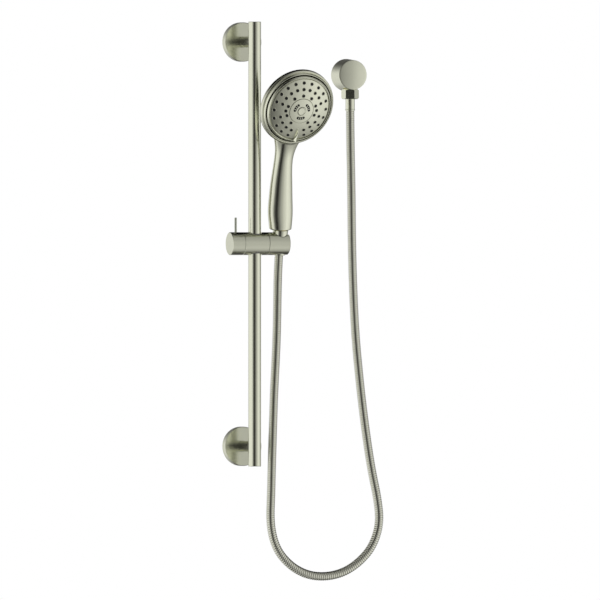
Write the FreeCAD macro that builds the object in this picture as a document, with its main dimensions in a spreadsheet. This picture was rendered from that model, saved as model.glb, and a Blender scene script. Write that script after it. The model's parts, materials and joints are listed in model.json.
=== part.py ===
import FreeCAD, Part
import math
import os
from types import SimpleNamespace

import Sketcher
from FreeCAD import Placement, Rotation, Vector

# A hand shower on a wall rail, with its hose and wall outlet. The wall is the plane Y = 0 and the set
# stands out from it towards -Y, with +Z up. The origin is on the wall, at the centre of the lower post.

os.makedirs("parts", exist_ok=True)
doc = FreeCAD.newDocument("HandShowerSet")

# ---------------------------------------------------------------------------------------------------
# Driving sizes, in millimetres and degrees
# ---------------------------------------------------------------------------------------------------

SIZES = [
    ("play", 0.05, "running clearance on a radius"),
    ("post_pitch", 637.5, "between the two posts"),
    ("rail_offset", 63, "rail axis to the wall"),
    ("rail_dia", 20, "rail, outside"),
    ("rail_wall", 1.2, "rail tube wall"),
    ("rail_overhang", 31.5, "rail past each post's axis"),
    ("cap_thick", 1.5, "rail cap"),
    ("cap_plug", 9, "rail cap's plug, length"),
    ("insert_half", 13, "threaded rail insert, half its length"),
    ("rail_screw_dia", 6, "screw that ties a post to the rail"),
    ("rail_screw_seat", 40, "wall to that screw's head seat"),
    ("post_dia", 17.5, "post, outside"),
    ("post_bore", 14, "post, socket for the wall plate's boss"),
    ("flange_dia", 62, "cover flange"),
    ("flange_depth", 11, "cover flange, off the wall"),
    ("flange_wall", 1.5, "cover flange, sheet"),
    ("plate_dia", 54, "wall plate"),
    ("plate_thick", 3, "wall plate, thickness"),
    ("boss_length", 27, "wall to the end of the plate's boss"),
    ("wall_screw_pitch", 36, "between the two wall screw holes"),
    ("wall_screw_hole", 5.5, "wall screw hole"),
    ("grub_dia", 5, "grub screw"),
    ("grub_at", 20, "wall to the grub screw"),
    ("outlet_x", 177.5, "wall outlet, sideways from the rail"),
    ("outlet_z", 586, "wall outlet, above the lower post"),
    ("outlet_back_dia", 50, "outlet drum at the wall"),
    ("outlet_front_dia", 46, "outlet drum at its face"),
    ("outlet_depth", 33, "outlet drum, off the wall"),
    ("outlet_wall", 2, "outlet drum, wall"),
    ("inlet_dia", 18.7, "outlet's thread for the supply pipe"),
    ("inlet_depth", 14, "outlet's thread, depth"),
    ("nipple_off_wall", 18, "hose nipple's axis to the wall"),
    ("thread_dia", 20.6, "half-inch hose thread"),
    ("nut_flats", 24, "hex nut across flats"),
    ("nut_top", 563.7, "hex nut, upper end"),
    ("nut_base", 547.8, "hex nut, lower end"),
    ("nut_turn", 20.5, "hex nut's turn about its axis"),
    ("ferrule_base", 529.9, "outlet ferrule, lower end"),
    ("hose_dia", 13.5, "hose, outside"),
    ("hose_bore", 12.2, "hose armour, inside"),
    ("slider_z", 319.4, "slider's axis above the lower post"),
    ("slider_dia", 36, "slider barrel"),
    ("knob_end", -42.2, "lock knob, left end"),
    ("knob_seam", -20.8, "lock knob meets the slider body"),
    ("body_end", 19.5, "slider body, right end"),
    ("holder_seam", 20, "holder, left end"),
    ("holder_end", 54.3, "holder, right end"),
    ("liner_dia", 23, "slider liner, outside"),
    ("pin_dia", 3.7, "lever pin"),
    ("pin_at", -32, "lever pin, sideways"),
    ("pin_rise", 41, "lever pin's tip above the slider's axis"),
    ("nest_x", 41.9, "handset axis, sideways"),
    ("slot_width", 16, "slot in the holder that lets the hose in"),
    ("handset_lean", 11, "handset axis, forward lean"),
    ("handset_turn", 5.5, "handset's turn to the right about its axis"),
    ("cone_top", 22.4, "cone nut's upper end, up the handset axis"),
    ("cone_base", -17.6, "cone nut's lower end"),
    ("cone_top_dia", 24.4, "cone nut, large end"),
    ("cone_base_dia", 20, "cone nut, small end"),
    ("lining", 1.2, "holder's plastic lining"),
    ("handle_base", 22.8, "handle's lower face, up the handset axis"),
    ("face_up", 222.6, "spray face centre, up the handset axis"),
    ("face_ahead", 38.6, "spray face centre, ahead of that axis"),
    ("face_tilt", 22.5, "spray face, below the horizontal"),
    ("rim_dia", 119, "head at its widest"),
    ("rim_front_dia", 114, "head at its face plane"),
    ("rim_set_back", 13, "face plane to the head's widest place"),
    ("dome_radius", 82, "back of the head, sphere"),
    ("head_depth", 40, "spray face plane to the back of the head"),
    ("shell_wall", 2.2, "handset shell, wall"),
    ("ring_outer", 54, "face ring, outer radius"),
    ("plate_radius", 49, "nozzle plate, radius"),
    ("plate_crown", 8.9, "nozzle plate, rise at its centre"),
    ("sheet_thick", 1.6, "nozzle plate, thickness"),
    ("nozzle_dia", 3.3, "nozzle"),
    ("nozzle_proud", 0.9, "nozzle tip above the plate"),
    ("outer_ring", 43.8, "outer ring of nozzles, radius"),
    ("middle_ring", 34.2, "middle ring of nozzles, radius"),
    ("inner_ring", 24.6, "inner ring of nozzles, radius"),
    ("side_nozzles", 26.1, "the two side nozzles, radius"),
    ("nozzle_step", 18, "angle from one nozzle to the next"),
    ("disc_radius", 20, "centre disc, radius"),
    ("button_radius", 7.3, "centre button, radius"),
]

sheet = doc.addObject("Spreadsheet::Sheet", "Sizes")
for row, (alias, amount, meaning) in enumerate(SIZES, 1):
    sheet.set(f"A{row}", meaning)
    sheet.set(f"B{row}", str(amount))
    sheet.setAlias(f"B{row}", alias)
doc.recompute()


class Size:
    """A number that keeps the sheet formula it comes from, so that a property can be bound to it."""

    def __init__(self, formula, value):
        self.formula = formula
        self.value = float(value)

    def __add__(self, other):
        other = sized(other)
        return Size(f"({self.formula} + {other.formula})", self.value + other.value)

    def __sub__(self, other):
        other = sized(other)
        return Size(f"({self.formula} - {other.formula})", self.value - other.value)

    def __mul__(self, other):
        other = sized(other)
        return Size(f"({self.formula} * {other.formula})", self.value * other.value)

    def __truediv__(self, other):
        other = sized(other)
        return Size(f"({self.formula} / {other.formula})", self.value / other.value)

    def __radd__(self, other):
        return sized(other) + self

    def __rsub__(self, other):
        return sized(other) - self

    def __rmul__(self, other):
        return sized(other) * self

    def __neg__(self):
        return sized(0) - self


def sized(amount):
    return amount if isinstance(amount, Size) else Size(f"{amount:.6f}", amount)


def sine(angle):
    angle = sized(angle)
    return Size(f"sin({angle.formula})", math.sin(math.radians(angle.value)))


def cosine(angle):
    angle = sized(angle)
    return Size(f"cos({angle.formula})", math.cos(math.radians(angle.value)))


s = SimpleNamespace(**{alias: Size(f"Sizes.{alias}", sheet.get(alias)) for alias, _, _ in SIZES})

# ---------------------------------------------------------------------------------------------------
# Places and directions
# ---------------------------------------------------------------------------------------------------

SIDEWAYS = Vector(1, 0, 0)
UPWARD = Vector(0, 0, 1)
FACE_LEAN = s.face_tilt - s.handset_lean
LEANING = Rotation(SIDEWAYS, s.handset_lean.value)
TURNED = LEANING * Rotation(UPWARD, s.handset_turn.value)
FACING = {
    "up": Rotation(),
    "down": Rotation(SIDEWAYS, 180),
    "off wall": Rotation(SIDEWAYS, 90),
    "right": Rotation(Vector(0, 1, 0), 90),
    "nest": LEANING,
    "handset": TURNED,
    "spray": TURNED * Rotation(SIDEWAYS, 90 + FACE_LEAN.value),
    "hex nut": Rotation(UPWARD, -s.nut_turn.value),
}
RAIL_Y = -s.rail_offset


def on_rail(height):
    return 0, RAIL_Y, height


def on_slider(sideways):
    return sideways, RAIL_Y, s.slider_z


def on_handset(up, ahead=0, right=0):
    """A place up the handset's axis from the slider's axis, ahead of it and to its right."""
    up, ahead, right = sized(up), sized(ahead), sized(right)
    lean, turn = s.handset_lean, s.handset_turn
    forward = ahead * cosine(turn) - right * sine(turn)
    return (
        s.nest_x + ahead * sine(turn) + right * cosine(turn),
        RAIL_Y - up * sine(lean) - forward * cosine(lean),
        s.slider_z + up * cosine(lean) - forward * sine(lean),
    )


def on_face(out, right=0, above=0):
    """A place measured from the centre of the spray face: out of it, to its right and up it."""
    out, above = sized(out), sized(above)
    up = s.face_up - out * sine(FACE_LEAN) + above * cosine(FACE_LEAN)
    ahead = s.face_ahead + out * cosine(FACE_LEAN) + above * sine(FACE_LEAN)
    return on_handset(up, ahead, right)


def put(item, at, facing):
    item.Placement = Placement(Vector(), FACING[facing])
    for axis, amount in zip("xyz", at):
        item.setExpression(f"Placement.Base.{axis}", sized(amount).formula)
    return item


# ---------------------------------------------------------------------------------------------------
# Ways of making a piece
# ---------------------------------------------------------------------------------------------------

sub_parts = []


def keep(item, label):
    item.Label = label
    sub_parts.append(item)
    return item


def cylinder(name, radius, length, at, facing):
    item = doc.addObject("Part::Cylinder", name)
    item.setExpression("Radius", sized(radius).formula)
    item.setExpression("Height", sized(length).formula)
    return put(item, at, facing)


def cone(name, radius, end_radius, length, at, facing):
    item = doc.addObject("Part::Cone", name)
    item.setExpression("Radius1", sized(radius).formula)
    item.setExpression("Radius2", sized(end_radius).formula)
    item.setExpression("Height", sized(length).formula)
    return put(item, at, facing)


def box(name, along, across, height, at, facing):
    item = doc.addObject("Part::Box", name)
    item.setExpression("Length", sized(along).formula)
    item.setExpression("Width", sized(across).formula)
    item.setExpression("Height", sized(height).formula)
    return put(item, at, facing)


def sphere(name, radius, at):
    item = doc.addObject("Part::Sphere", name)
    item.setExpression("Radius", sized(radius).formula)
    return put(item, at, "spray")


def torus(name, radius, section, at, facing):
    item = doc.addObject("Part::Torus", name)
    item.setExpression("Radius1", sized(radius).formula)
    item.setExpression("Radius2", sized(section).formula)
    return put(item, at, facing)


def cut(name, base, *tools):
    for number, tool in enumerate(tools, 1):
        item = doc.addObject("Part::Cut", f"{name}_cut_{number}")
        item.Base = base
        item.Tool = tool
        base = item
    return base


def fuse(name, *items):
    item = doc.addObject("Part::MultiFuse", f"{name}_fuse")
    item.Shapes = list(items)
    return item


def common(name, base, tool):
    item = doc.addObject("Part::Common", f"{name}_common")
    item.Base = base
    item.Tool = tool
    return item


def group(name, items):
    item = doc.addObject("Part::Compound", f"{name}_group")
    item.Links = list(items)
    return item


def origin_plane(body, role):
    return next(feature for feature in body.Origin.OriginFeatures if feature.Role == role)


def turned(name, outline, at, facing):
    """A turned piece: a closed outline of (radius, height) corners, revolved about the body's Z axis."""
    body = doc.addObject("PartDesign::Body", name)
    sketch = body.newObject("Sketcher::SketchObject", f"{name}_outline")
    sketch.AttachmentSupport = (origin_plane(body, "XZ_Plane"), [""])
    sketch.MapMode = "FlatFace"
    outline = [(sized(radius), sized(height)) for radius, height in outline]
    corners = [Vector(radius.value, height.value, 0) for radius, height in outline]
    count = len(corners)
    for number, corner in enumerate(corners):
        sketch.addGeometry(Part.LineSegment(corner, corners[(number + 1) % count]), False)
    for number in range(count):
        sketch.addConstraint(Sketcher.Constraint("Coincident", number, 2, (number + 1) % count, 1))
    for number, (radius, height) in enumerate(outline):
        for kind, amount in (("DistanceX", radius), ("DistanceY", height)):
            size = Sketcher.Constraint(kind, -1, 1, number, 1, amount.value)
            index = sketch.addConstraint(size)
            sketch.setExpression(f"Constraints[{index}]", amount.formula)
    revolution = body.newObject("PartDesign::Revolution", f"{name}_turned")
    revolution.Profile = sketch
    revolution.ReferenceAxis = (sketch, ["V_Axis"])
    revolution.Angle = 360
    body.Tip = revolution
    return put(body, at, facing)


def ring(name, bore_radius, radius, length, at, facing):
    """A washer, bush or sleeve."""
    outline = [(bore_radius, 0), (radius, 0), (radius, length), (bore_radius, length)]
    return turned(name, outline, at, facing)


# ---------------------------------------------------------------------------------------------------
# Rail, posts and wall fixings
# ---------------------------------------------------------------------------------------------------

RAIL_RADIUS = s.rail_dia / 2
RAIL_BORE = RAIL_RADIUS - s.rail_wall
POST_RADIUS = s.post_dia / 2
SCREW_RADIUS = s.rail_screw_dia / 2
LEVELS = {"lower": sized(0), "upper": s.post_pitch}


def rail_tube():
    length = s.post_pitch + 2 * s.rail_overhang - 2 * s.cap_thick
    base = s.cap_thick - s.rail_overhang
    tube = ring("rail_tube_body", RAIL_BORE, RAIL_RADIUS, length, on_rail(base), "up")
    holes = [
        cylinder(f"{level}_rail_hole", SCREW_RADIUS + 0.1, RAIL_RADIUS + 2,
                 (0, RAIL_Y + RAIL_RADIUS + 2, height), "off wall")
        for level, height in LEVELS.items()
    ]
    keep(cut("rail_tube", tube, *holes), "rail_tube")


def rail_caps():
    chamfer = 0.5
    outline = [
        (0, 0), (RAIL_RADIUS - chamfer, 0), (RAIL_RADIUS, chamfer), (RAIL_RADIUS, s.cap_thick),
        (RAIL_BORE - 0.02, s.cap_thick), (RAIL_BORE - 0.02, s.cap_plug), (0, s.cap_plug),
    ]
    ends = {"lower": (-s.rail_overhang, "up"), "upper": (s.post_pitch + s.rail_overhang, "down")}
    for level, (height, facing) in ends.items():
        name = f"{level}_rail_cap"
        keep(turned(f"{name}_body", outline, on_rail(height), facing), name)


def rail_inserts():
    for level, height in LEVELS.items():
        name = f"{level}_rail_insert"
        plug = cylinder(f"{name}_plug", RAIL_BORE - 0.02, 2 * s.insert_half,
                        on_rail(height - s.insert_half), "up")
        tapped = cylinder(f"{name}_thread", SCREW_RADIUS, RAIL_RADIUS + 7,
                          (0, RAIL_Y + RAIL_RADIUS, height), "off wall")
        keep(cut(name, plug, tapped), name)


def posts():
    """Each post is coped to the rail, socketed on the wall plate's boss and drilled for its screw."""
    for level, height in LEVELS.items():
        name = f"{level}_post"
        start = (0, -s.plate_thick, height)
        bar = cylinder(f"{name}_bar", POST_RADIUS, s.rail_offset - s.plate_thick, start, "off wall")
        cope = cylinder(f"{name}_cope", RAIL_RADIUS, 4 * POST_RADIUS,
                        on_rail(height - 2 * POST_RADIUS), "up")
        socket = cylinder(f"{name}_socket", s.post_bore / 2, s.rail_screw_seat - s.plate_thick,
                          start, "off wall")
        hole = cylinder(f"{name}_hole", SCREW_RADIUS + 0.2, s.rail_offset, start, "off wall")
        grub = cylinder(f"{name}_grub_hole", s.grub_dia / 2, s.post_dia,
                        (0, -s.grub_at, height), "down")
        keep(cut(name, bar, cope, socket, hole, grub), name)


def rail_screws():
    screws = []
    head_height, past_axis = 6, 6
    length = s.rail_offset + past_axis - s.rail_screw_seat + head_height
    for level, height in LEVELS.items():
        name = f"{level}_rail_screw"
        start = (0, head_height - s.rail_screw_seat, height)
        head = cylinder(f"{name}_head", 5, head_height, start, "off wall")
        shank = cylinder(f"{name}_shank", SCREW_RADIUS, length, start, "off wall")
        socket = cylinder(f"{name}_socket", 2.5, 3, start, "off wall")
        screws.append(cut(name, fuse(name, head, shank), socket))
    keep(group("rail_screws", screws), "rail_screws")


def wall_plates():
    boss = s.post_bore / 2 - s.play
    waist = boss - 1
    groove_start = s.grub_at - s.grub_dia / 2 - 0.3
    groove_end = s.grub_at + s.grub_dia / 2 + 0.3
    outline = [
        (0, 0), (s.plate_dia / 2, 0), (s.plate_dia / 2, s.plate_thick), (boss, s.plate_thick),
        (boss, groove_start), (waist, groove_start), (waist, groove_end), (boss, groove_end),
        (boss, s.boss_length), (0, s.boss_length),
    ]
    for level, height in LEVELS.items():
        name = f"{level}_wall_plate"
        plate = turned(f"{name}_body", outline, (0, 0, height), "off wall")
        holes = [
            cylinder(f"{name}_{side}_hole", s.wall_screw_hole / 2, s.plate_thick + 2,
                     (way * s.wall_screw_pitch / 2, 1, height), "off wall")
            for side, way in (("left", -1), ("right", 1))
        ]
        keep(cut(name, plate, *holes), name)


def grub_screws():
    screws = []
    tip = s.post_bore / 2 - s.play - 1
    for level, height in LEVELS.items():
        name = f"{level}_grub_screw"
        start = (0, -s.grub_at, height - tip)
        body = cylinder(f"{name}_body", s.grub_dia / 2, POST_RADIUS - tip - 0.3, start, "down")
        socket = cylinder(f"{name}_socket", 1.25, 2, (0, -s.grub_at, height - POST_RADIUS), "up")
        screws.append(cut(name, body, socket))
    keep(group("grub_screws", screws), "grub_screws")


def flanges():
    """A pressed cup that hides the wall plate and lets the post through."""
    outer = s.flange_dia / 2
    inner = outer - s.flange_wall
    collar = POST_RADIUS + 0.15
    edge = 1.0
    outline = [
        (inner, 0), (outer, 0), (outer, s.flange_depth - edge), (outer - edge, s.flange_depth),
        (collar, s.flange_depth), (collar, s.flange_depth - s.flange_wall),
        (inner, s.flange_depth - s.flange_wall),
    ]
    for level, height in LEVELS.items():
        name = f"{level}_flange"
        keep(turned(f"{name}_body", outline, (0, 0, height), "off wall"), name)


# ---------------------------------------------------------------------------------------------------
# Wall outlet and the hose's lower fitting
# ---------------------------------------------------------------------------------------------------

THREAD_RADIUS = s.thread_dia / 2
HOSE_RADIUS = s.hose_dia / 2
OUTLET_AXIS = (s.outlet_x, -s.nipple_off_wall)
NIPPLE_END = s.nut_base + 5.2
GLAND_RADIUS = HOSE_RADIUS + 0.05
FERRULE_RADIUS = GLAND_RADIUS + 0.5
INSERT_BORE = 3
BARB_RADIUS = 4.3
INSERT_FLANGE = 9.55


def on_outlet(off_wall):
    return s.outlet_x, -sized(off_wall), s.outlet_z


def outlet_body():
    back, front = s.outlet_back_dia / 2, s.outlet_front_dia / 2
    inner_back, inner_front = back - s.outlet_wall, front - s.outlet_wall
    edge = 1.2
    outline = [
        (inner_back, 0), (back, 0), (front, s.outlet_depth - edge), (front - edge, s.outlet_depth),
        (0, s.outlet_depth), (0, s.outlet_depth - s.outlet_wall),
        (inner_front, s.outlet_depth - s.outlet_wall),
    ]
    drum = turned("outlet_drum", outline, on_outlet(0), "off wall")
    opening = cylinder("outlet_opening", s.nut_flats / 2 / cosine(30) + 0.3, s.outlet_back_dia,
                       (*OUTLET_AXIS, s.outlet_z), "down")
    keep(cut("outlet_body", drum, opening), "outlet_body")


def outlet_elbow():
    """The brass elbow: a thread for the supply pipe at the wall, and the hose nipple pointing down."""
    waterway, wall = 6.5, 1
    block = cylinder("elbow_block", 14.5, 28, on_outlet(0), "off wall")
    nipple = cylinder("elbow_nipple", THREAD_RADIUS, s.outlet_z - NIPPLE_END,
                      (*OUTLET_AXIS, NIPPLE_END), "up")
    inlet = cylinder("elbow_inlet", s.inlet_dia / 2, s.inlet_depth + wall, on_outlet(-wall), "off wall")
    passage = cylinder("elbow_passage", waterway, 10, on_outlet(s.inlet_depth - wall), "off wall")
    drop = cylinder("elbow_drop", waterway, s.outlet_z - NIPPLE_END + wall,
                    (*OUTLET_AXIS, NIPPLE_END - wall), "up")
    elbow = fuse("outlet_elbow", block, nipple)
    keep(cut("outlet_elbow", elbow, inlet, passage, drop), "outlet_elbow")


def outlet_gasket():
    ring_body = ring("outlet_gasket_ring", 15, s.outlet_back_dia / 2 - s.outlet_wall - 0.3, 2,
                     on_outlet(0), "off wall")
    keep(ring_body, "outlet_gasket")


def hose_hex_nut():
    """A hexagon with both ends chamfered, over a bore that stops at a lip."""
    flat = s.nut_flats / 2
    corner = flat / cosine(30)
    length = s.nut_top - s.nut_base
    lip, chamfer = 1, 1.9
    face = flat - 0.4
    lip_bore = FERRULE_RADIUS + s.play
    thread = THREAD_RADIUS + s.play
    chamfered = [
        (lip_bore, 0), (face, 0), (corner, chamfer), (corner, length - chamfer), (face, length),
        (thread, length), (thread, lip), (lip_bore, lip),
    ]
    at = (*OUTLET_AXIS, s.nut_base)
    blank = turned("hex_nut_blank", chamfered, at, "up")
    prism = doc.addObject("Part::Prism", "hex_nut_prism")
    prism.Polygon = 6
    prism.setExpression("Circumradius", corner.formula)
    prism.setExpression("Height", length.formula)
    put(prism, at, "hex nut")
    keep(common("hose_hex_nut", blank, prism), "hose_hex_nut")


def hose_insert(barb, end):
    """A flanged spigot that grips the hose's inner tube from inside."""
    return [
        (INSERT_BORE, 0), (BARB_RADIUS, 0), (BARB_RADIUS, barb), (INSERT_FLANGE, barb),
        (INSERT_FLANGE, end), (INSERT_BORE, end),
    ]


def hose_wall_fitting():
    """The washer, barbed insert and ferrule that end the hose at the outlet."""
    washer = ring("wall_washer_ring", 6.5, THREAD_RADIUS - 0.1, 2.2,
                  (*OUTLET_AXIS, s.nut_base + 3), "up")
    keep(washer, "hose_wall_washer")
    insert = hose_insert(17.2, 19.1)
    keep(turned("wall_insert_body", insert, (*OUTLET_AXIS, s.nut_base - 16.15), "up"),
         "hose_wall_insert")
    length = s.nut_base + 0.9 - s.ferrule_base
    bead, bead_radius = 1.6, FERRULE_RADIUS + 0.5
    ferrule = [
        (GLAND_RADIUS, 0), (bead_radius, 0), (bead_radius, bead),
        (FERRULE_RADIUS, bead + 0.5), (FERRULE_RADIUS, length), (GLAND_RADIUS, length),
    ]
    keep(turned("wall_ferrule_body", ferrule, (*OUTLET_AXIS, s.ferrule_base), "up"),
         "hose_wall_ferrule")


# ---------------------------------------------------------------------------------------------------
# Slider: liner, body, lock and tilt pivot
# ---------------------------------------------------------------------------------------------------

SLIDER_RADIUS = s.slider_dia / 2
LINER_RADIUS = s.liner_dia / 2
BORE_RADIUS = LINER_RADIUS + s.play
SEAM = 0.5
SPIGOT_RADIUS = sized(12)
SPIGOT_LENGTH = 7
PIVOT_BOSS = (8, 4.5)
SHOE_RADIUS = sized(6.5)


def slider_liner():
    """A split plastic bush that slides on the rail and grips it when the shoe squeezes it."""
    height = s.slider_dia - 5
    bush = ring("liner_bush", RAIL_RADIUS + s.play, LINER_RADIUS, height,
                on_rail(s.slider_z - height / 2), "up")
    split = box("liner_split", LINER_RADIUS, 1.5, height + 2,
                (0, RAIL_Y - 0.75, s.slider_z - height / 2 - 1), "up")
    keep(cut("slider_liner", bush, split), "slider_liner")


def slider_body():
    start = s.knob_seam - SPIGOT_LENGTH
    length = s.body_end - start
    boss_radius, boss_height = PIVOT_BOSS
    outline = [
        (0, 0), (SPIGOT_RADIUS, 0), (SPIGOT_RADIUS, SPIGOT_LENGTH),
        (SLIDER_RADIUS - SEAM, SPIGOT_LENGTH), (SLIDER_RADIUS, SPIGOT_LENGTH + SEAM),
        (SLIDER_RADIUS, length - SEAM), (SLIDER_RADIUS - SEAM, length), (boss_radius, length),
        (boss_radius, length + boss_height), (0, length + boss_height),
    ]
    barrel = turned("slider_barrel", outline, on_slider(start), "right")
    rail_bore = cylinder("slider_bore", BORE_RADIUS, s.slider_dia + 4,
                         on_rail(s.slider_z - SLIDER_RADIUS - 2), "up")
    shoe_bore = cylinder("slider_shoe_bore", SHOE_RADIUS + s.play, 20, on_slider(start - 1), "right")
    bush_seat = cylinder("slider_bush_seat", 9, 8.2, on_slider(start - 1), "right")
    tapped = cylinder("slider_tapped_hole", 3, 20, on_slider(14), "right")
    keep(cut("slider_body", barrel, rail_bore, shoe_bore, bush_seat, tapped), "slider_body")


def clamp_shoe():
    """The block that the lock screw draws against the liner. Its nose is hollowed to the liner."""
    start = s.knob_seam + 0.8
    block = cylinder("shoe_block", SHOE_RADIUS, 10, on_slider(start), "right")
    nose = cylinder("shoe_nose", LINER_RADIUS + 0.02, s.slider_dia,
                    on_rail(s.slider_z - SLIDER_RADIUS), "up")
    thread = cylinder("shoe_thread", 3 + s.play, 8, on_slider(start - 1), "right")
    keep(cut("clamp_shoe", block, nose, thread), "clamp_shoe")


def lock_bush():
    bush = ring("lock_bush_ring", 4.05, 9, 3, on_slider(s.knob_seam - 5), "right")
    keep(bush, "lock_bush")


def lock_knob():
    start = s.knob_end + 1.5
    end = s.knob_seam - 0.2
    length = end - start
    neck = SPIGOT_RADIUS + s.play
    outline = [
        (4.05, 4.5), (6, 4.5), (6, 0), (SLIDER_RADIUS, 0), (SLIDER_RADIUS, length - SEAM),
        (SLIDER_RADIUS - SEAM, length), (neck, length), (neck, length - SPIGOT_LENGTH),
        (4.05, length - SPIGOT_LENGTH),
    ]
    knob = turned("knob_turning", outline, on_slider(start), "right")
    pin_hole = cylinder("knob_pin_hole", s.pin_dia / 2, 20, (s.pin_at, RAIL_Y, s.slider_z + 8), "up")
    keep(cut("lock_knob", knob, pin_hole), "lock_knob")


def knob_cap():
    edge = 0.6
    outline = [
        (0, 0), (SLIDER_RADIUS - edge, 0), (SLIDER_RADIUS, edge), (SLIDER_RADIUS, 1.5),
        (5.9, 1.5), (5.9, 2.5), (0, 2.5),
    ]
    keep(turned("knob_cap_body", outline, on_slider(s.knob_end), "right"), "knob_cap")


def lever_pin():
    edge = 0.5
    radius = s.pin_dia / 2
    length = s.pin_rise - 8
    outline = [(0, 0), (radius, 0), (radius, length - edge), (radius - edge, length), (0, length)]
    keep(turned("lever_pin_body", outline, (s.pin_at, RAIL_Y, s.slider_z + 8), "up"), "lever_pin")


def clamp_screw():
    """Turns with the knob. Its collar runs against the bush and its end drives the shoe."""
    shaft = cylinder("clamp_shaft", 4, 11.2, on_slider(s.knob_seam - 15.2), "right")
    collar = cylinder("clamp_collar", 7, 1.8, on_slider(s.knob_seam - 1.8), "right")
    joining = cylinder("clamp_joining", 4, 4, on_slider(s.knob_seam - 4.5), "right")
    thread = cylinder("clamp_thread", 3, 8, on_slider(s.knob_seam - 1), "right")
    tapped = cylinder("clamp_tapped", 1.6, 7, on_slider(s.knob_seam - 15.7), "right")
    shape = fuse("clamp_screw", shaft, collar, joining, thread)
    keep(cut("clamp_screw", shape, tapped), "clamp_screw")


def knob_screw():
    head_at = s.knob_end + 3
    head = cylinder("knob_screw_head", 4.6, 2.8, on_slider(head_at), "right")
    shank = cylinder("knob_screw_shank", 1.6, 8, on_slider(head_at), "right")
    socket = cylinder("knob_screw_socket", 1.5, 1.5, on_slider(head_at), "right")
    keep(cut("knob_screw", fuse("knob_screw", head, shank), socket), "knob_screw")


def tilt_pivot():
    """The bolt, spring washer and friction ring that hold the holder and let it tilt."""
    bolt_end = s.body_end - 5
    head_at = s.holder_seam + 7.2
    shank = cylinder("pivot_shank", 3, head_at - bolt_end, on_slider(bolt_end), "right")
    head = cylinder("pivot_head", 5.2, 2, on_slider(head_at), "right")
    socket = cylinder("pivot_socket", 2, 1.2, on_slider(head_at + 0.8), "right")
    keep(cut("pivot_bolt", fuse("pivot_bolt", shank, head), socket), "pivot_bolt")
    washer = ring("pivot_washer_ring", 3.1, 5.2, 0.7, on_slider(s.holder_seam + 6.5), "right")
    keep(washer, "pivot_washer")
    friction = ring("friction_ring", 8.5, 16, s.holder_seam - s.body_end - 0.05,
                    on_slider(s.body_end), "right")
    keep(friction, "tilt_friction_ring")


# ---------------------------------------------------------------------------------------------------
# Holder that the handset drops into
# ---------------------------------------------------------------------------------------------------


def cone_radius(up):
    """The cone nut's radius at a height up the handset axis."""
    taper = (s.cone_top_dia - s.cone_base_dia) / 2 / (s.cone_top - s.cone_base)
    return s.cone_base_dia / 2 + (sized(up) - s.cone_base) * taper


def nest_cone(name, low, high, room):
    low, high = sized(low), sized(high)
    return cone(name, cone_radius(low) + room, cone_radius(high) + room, high - low,
                on_handset(low), "handset")


def nest_slot(name, width):
    """A block along the handset axis that opens the nest to the right."""
    block = box(name, 30, width, 60, on_handset(-30), "nest")
    block.setExpression("Placement.Base.y", (on_handset(-30)[1] - sized(width) / 2).formula)
    return block


def holder_body():
    length = s.holder_end - s.holder_seam
    edge = 1.2
    pocket = PIVOT_BOSS[0] + s.play
    pocket_depth = PIVOT_BOSS[1] + 0.2
    bolt_seat, bolt_room = 6.4, 9.4
    bolt_hole, head_hole = 3.2, 5.6
    outline = [
        (bolt_hole, bolt_seat), (bolt_hole, pocket_depth), (pocket, pocket_depth), (pocket, 0),
        (SLIDER_RADIUS - SEAM, 0), (SLIDER_RADIUS, SEAM), (SLIDER_RADIUS, length - edge),
        (SLIDER_RADIUS - edge, length), (0, length), (0, bolt_room), (head_hole, bolt_room),
        (head_hole, bolt_seat),
    ]
    barrel = turned("holder_barrel", outline, on_slider(s.holder_seam), "right")
    nest = nest_cone("holder_nest", -24, 24, s.play + s.lining)
    slot = nest_slot("holder_slot", s.slot_width)
    keep(cut("holder_body", barrel, nest, slot), "holder_body")


def holder_insert():
    """The plastic lining of the nest, open along the slot, trimmed to the barrel."""
    outside = nest_cone("insert_outside", -22, 22, s.play + s.lining - 0.01)
    inside = nest_cone("insert_inside", -23, 23, s.play)
    slot = nest_slot("insert_slot", s.slot_width)
    trim = cylinder("insert_trim", SLIDER_RADIUS - 0.4, 40, on_slider(s.holder_seam + 9.6), "right")
    lining = cut("holder_insert", outside, inside, slot)
    keep(common("holder_insert", lining, trim), "holder_insert")


# ---------------------------------------------------------------------------------------------------
# Handset: hose connection, shell and waterway
# ---------------------------------------------------------------------------------------------------


def cone_nut():
    """Up from its base: the ferrule's bore, a seat for the hose insert, then the thread."""
    base = s.cone_base
    length = s.cone_top - base
    seat = 5.5 - base
    thread = 8.2 - base
    edge = 0.6
    outline = [
        (7.95, 0), (s.cone_base_dia / 2 - edge, 0), (s.cone_base_dia / 2, edge),
        (s.cone_top_dia / 2, length - edge), (s.cone_top_dia / 2 - edge, length),
        (THREAD_RADIUS + s.play, length), (THREAD_RADIUS + s.play, thread), (9.65, thread),
        (9.65, seat), (7.95, seat),
    ]
    keep(turned("cone_nut_body", outline, on_handset(base), "handset"), "cone_nut")


def hose_handset_fitting():
    insert = hose_insert(19.6, 22.1)
    keep(turned("handset_insert_body", insert, on_handset(-14), "handset"), "hose_handset_insert")
    sleeve = ring("handset_ferrule_ring", GLAND_RADIUS, GLAND_RADIUS + 0.8, 22.4,
                  on_handset(-17), "handset")
    keep(sleeve, "hose_handset_ferrule")


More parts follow.
